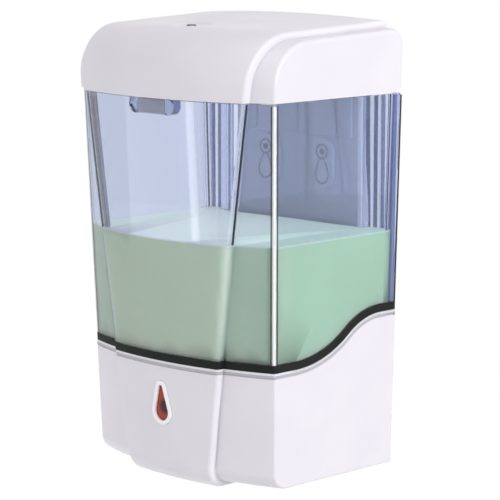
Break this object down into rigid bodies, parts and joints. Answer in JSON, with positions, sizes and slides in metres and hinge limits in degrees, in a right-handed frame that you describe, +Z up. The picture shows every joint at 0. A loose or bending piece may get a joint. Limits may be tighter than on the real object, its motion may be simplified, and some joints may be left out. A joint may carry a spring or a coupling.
{
  "type": "wall mounted soap dispenser",
  "caption": "Wall mounted automatic soap dispenser: a clear tank on a moulded base with a sensor window and gear pump, under a hinged lid with a key lock.",
  "frame": {"origin": "on the wall, midway between the entry holes of the two keyholes in the back plate", "axes": "+X to the right of someone facing the dispenser, +Y into the wall, +Z up"},
  "size_m": [0.1282, 0.1014, 0.2131],
  "materials": {
    "white_plastic": "satin moulded",
    "clear_plastic": "clear tinted gloss",
    "soap": "milky liquid",
    "seal_rubber": "matt",
    "tube_silicone": "translucent",
    "dark_window": "dark red gloss",
    "black_plastic": "fine texture",
    "grey_plastic": "fine texture",
    "gear_plastic": "moulded",
    "steel": "plated",
    "board": "solder mask",
    "red_led": "clear tinted",
    "contact_metal": "nickel plated",
    "cell_wrap": "printed sleeve"
  },
  "bodies": {
    "housing": {"back_plate": "white_plastic", "base_housing": "white_plastic", "tank": "clear_plastic", "tank_seal": "seal_rubber", "soap_fill": "soap", "outlet_strainer": "grey_plastic", "hinge_pin": "steel", "sensor_window": "dark_window", "window_bezel": "white_plastic", "control_board": "board", "indicator_led": "red_led", "ir_lens": "dark_window", "ir_diodes": "black_plastic", "pump_body": "grey_plastic", "pump_gasket": "seal_rubber", "pump_cover": "grey_plastic", "idler_pin": "steel", "motor_can": "steel", "motor_end_cap": "black_plastic", "inlet_tube": "tube_silicone", "outlet_tube": "tube_silicone", "nozzle": "white_plastic", "nozzle_valve": "tube_silicone", "battery_box": "black_plastic", "battery_1": "cell_wrap", "battery_2": "cell_wrap", "battery_3": "cell_wrap", "battery_4": "cell_wrap", "battery_contacts": "contact_metal", "switch_body": "black_plastic", "back_screws": "steel", "tank_screws": "steel", "pump_screws": "steel", "cover_screws": "steel"},
    "lid": {"lid": "white_plastic"},
    "lock": {"lock_barrel": "white_plastic", "lock_clip": "steel", "lock_cam": "steel"},
    "pump_drive": {"motor_shaft": "steel", "drive_gear": "gear_plastic"},
    "pump_idler": {"idler_gear": "gear_plastic"},
    "battery_door": {"battery_door": "white_plastic"},
    "power_switch": {"switch_slider": "black_plastic"}
  },
  "joints": [
    {"name": "lid_hinge", "type": "hinge", "parent": "housing", "child": "lid", "pos_m": [0, -0.012, 0.066], "axis": [-1, 0, 0], "range_deg": [0, 70]},
    {"name": "lock_turn", "type": "hinge", "parent": "lid", "child": "lock", "pos_m": [0, -0.073, 0.07074], "axis": [0, 0, -1], "range_deg": [0, 90]},
    {"name": "pump_drive_spin", "type": "hinge", "parent": "housing", "child": "pump_drive", "pos_m": [0, -0.0652, -0.102], "axis": [1, 0, 0], "continuous": true},
    {"name": "pump_idler_spin", "type": "hinge", "parent": "housing", "child": "pump_idler", "pos_m": [0, -0.0508, -0.102], "axis": [1, 0, 0], "continuous": true},
    {"name": "battery_door_hinge", "type": "hinge", "parent": "housing", "child": "battery_door", "pos_m": [0, -0.009, -0.1308], "axis": [1, 0, 0], "range_deg": [0, 90]},
    {"name": "switch_slide", "type": "slide", "parent": "housing", "child": "power_switch", "axis": [1, 0, 0], "range_m": [0, 0.003]}
  ],
  "couplings": [
    {"joint": "pump_idler_spin", "follows": "pump_drive_spin", "ratio": -1}
  ]
}
